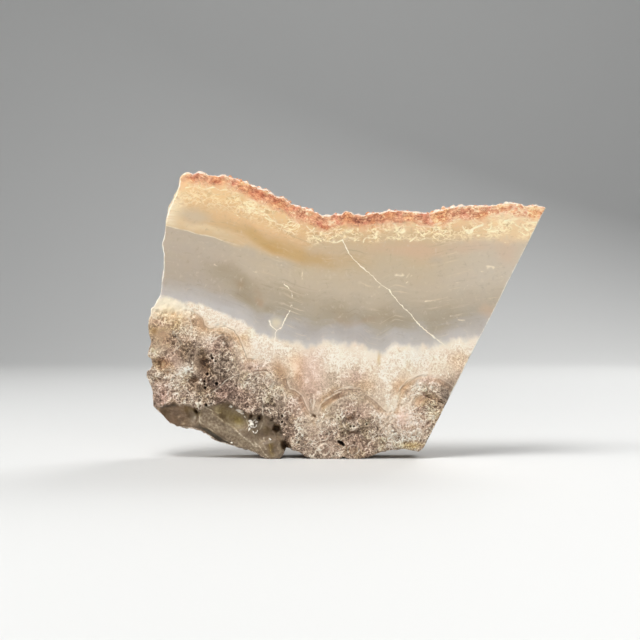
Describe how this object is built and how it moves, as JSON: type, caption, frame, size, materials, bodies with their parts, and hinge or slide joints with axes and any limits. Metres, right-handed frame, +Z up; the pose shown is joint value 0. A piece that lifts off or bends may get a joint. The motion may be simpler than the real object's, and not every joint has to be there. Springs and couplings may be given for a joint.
{
  "type": "hokkaidoite slice",
  "caption": "Sawn slab of banded opal sinter with a rust-stained crust along the top, translucent bands below it and a porous knobbly foot it stands on.",
  "frame": {"origin": "on the resting surface, under the middle of the slab", "axes": "+X along the sawn face towards the slanting sawn end, +Y through the thickness from the front face to the back face, +Z up from the porous foot to the crust"},
  "size_m": [0.0804, 0.01, 0.0576],
  "materials": {
    "opal_sinter": "satin sawn faces, matt crust and foot"
  },
  "bodies": {
    "root": {"slice": "opal_sinter"}
  },
  "joints": []
}
